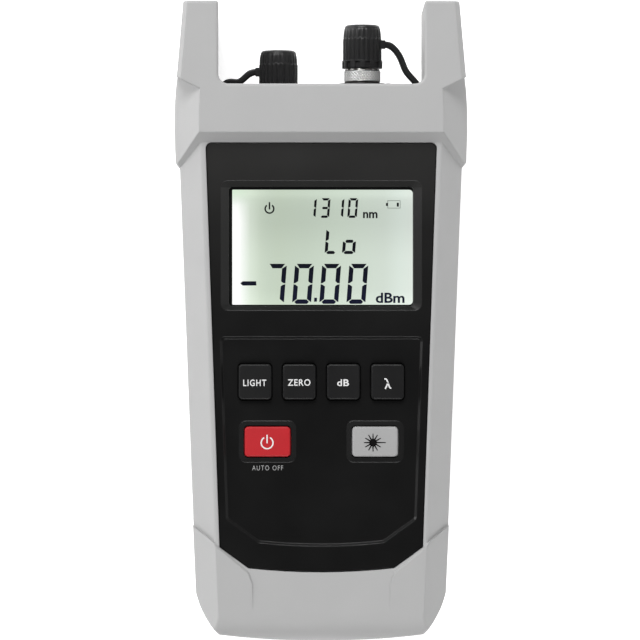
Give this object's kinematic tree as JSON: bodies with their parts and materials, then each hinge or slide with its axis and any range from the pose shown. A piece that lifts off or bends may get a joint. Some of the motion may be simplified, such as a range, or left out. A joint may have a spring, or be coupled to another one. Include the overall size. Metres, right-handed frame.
{
  "type": "handheld optical power meter",
  "caption": "Handheld fibre-optic power meter in a soft boot with two guard horns, a backlit display, a rubber keypad, capped detector and laser sockets and a battery bay at the back.",
  "frame": {"origin": "on the rest plane under the middle of the outline", "axes": "+Y along the meter towards the horns and sockets, +Z out of the display, +X to the right when the display is read"},
  "size_m": [0.087, 0.1895, 0.047],
  "materials": {
    "boot_rubber": "soft matte",
    "panel_plastic": "fine matte",
    "rear_plastic": "fine texture",
    "lens": "clear",
    "foam": "foam",
    "lcd": "clear",
    "backlight": "diffusing",
    "frame_plastic": "plain",
    "zebra": "plain",
    "circuit_board": "solder mask",
    "chip": "plain",
    "steel": "plated",
    "keypad_silicone": "matte",
    "key_black": "matte",
    "key_red": "matte",
    "key_grey": "matte",
    "carbon": "carbon",
    "nickel": "nickel plated",
    "brass": "turned",
    "ceramic": "zirconia",
    "cap_rubber": "soft matte",
    "cell_wrap": "plain sleeve"
  },
  "bodies": {
    "meter": {"protective_boot": "boot_rubber", "front_case": "panel_plastic", "rear_case": "rear_plastic", "battery_cell_1": "cell_wrap", "battery_cell_2": "cell_wrap", "battery_cell_3": "cell_wrap", "battery_contacts_top": "steel", "battery_contacts_bottom": "steel", "main_board": "circuit_board", "controller_chips": "chip", "case_screws": "steel", "board_screws": "steel", "display_window": "lens", "display_gasket": "foam", "lcd_glass": "lcd", "lcd_backlight": "backlight", "lcd_frame": "frame_plastic", "zebra_strips": "zebra", "keypad_mat": "keypad_silicone", "detector_socket": "nickel", "detector_nut": "nickel", "photodiode": "steel", "laser_barrel": "brass", "laser_nut": "nickel", "ceramic_sleeve": "ceramic", "laser_diode": "steel", "laser_driver_board": "circuit_board", "detector_cap_tether": "cap_rubber", "laser_cap_tether": "cap_rubber"},
    "cover": {"battery_cover": "rear_plastic"},
    "coupler": {"laser_coupler": "nickel"},
    "detector_cap": {"detector_dust_cap": "cap_rubber"},
    "laser_cap": {"laser_dust_cap": "cap_rubber"},
    "light_key_body": {"light_key": "key_black", "light_key_contact": "carbon"},
    "zero_key_body": {"zero_key": "key_black", "zero_key_contact": "carbon"},
    "db_key_body": {"db_key": "key_black", "db_key_contact": "carbon"},
    "wavelength_key_body": {"wavelength_key": "key_black", "wavelength_key_contact": "carbon"},
    "power_key_body": {"power_key": "key_red", "power_key_contact": "carbon"},
    "laser_key_body": {"laser_key": "key_grey", "laser_key_contact": "carbon"}
  },
  "joints": [
    {"name": "battery_cover_swing", "type": "hinge", "parent": "meter", "child": "cover", "pos_m": [0, -0.0596, 0.0015], "axis": [-1, 0, 0], "range_deg": [0, 40]},
    {"name": "laser_coupler_turn", "type": "hinge", "parent": "meter", "child": "coupler", "pos_m": [0.0126, 0.0734, 0.024], "axis": [0, 1, 0], "continuous": true},
    {"name": "detector_cap_pull", "type": "slide", "parent": "meter", "child": "detector_cap", "axis": [0, 1, 0], "range_m": [0, 0.012], "deforming": ["detector_cap_tether"]},
    {"name": "laser_cap_pull", "type": "slide", "parent": "meter", "child": "laser_cap", "axis": [0, 1, 0], "range_m": [0, 0.012], "deforming": ["laser_cap_tether"]},
    {"name": "light_press", "type": "slide", "parent": "meter", "child": "light_key_body", "axis": [0, 0, -1], "range_m": [0, 0.001], "stiffness_N_per_m": 700},
    {"name": "zero_press", "type": "slide", "parent": "meter", "child": "zero_key_body", "axis": [0, 0, -1], "range_m": [0, 0.001], "stiffness_N_per_m": 700},
    {"name": "db_press", "type": "slide", "parent": "meter", "child": "db_key_body", "axis": [0, 0, -1], "range_m": [0, 0.001], "stiffness_N_per_m": 700},
    {"name": "wavelength_press", "type": "slide", "parent": "meter", "child": "wavelength_key_body", "axis": [0, 0, -1], "range_m": [0, 0.001], "stiffness_N_per_m": 700},
    {"name": "power_press", "type": "slide", "parent": "meter", "child": "power_key_body", "axis": [0, 0, -1], "range_m": [0, 0.001], "stiffness_N_per_m": 700},
    {"name": "laser_press", "type": "slide", "parent": "meter", "child": "laser_key_body", "axis": [0, 0, -1], "range_m": [0, 0.001], "stiffness_N_per_m": 700}
  ]
}
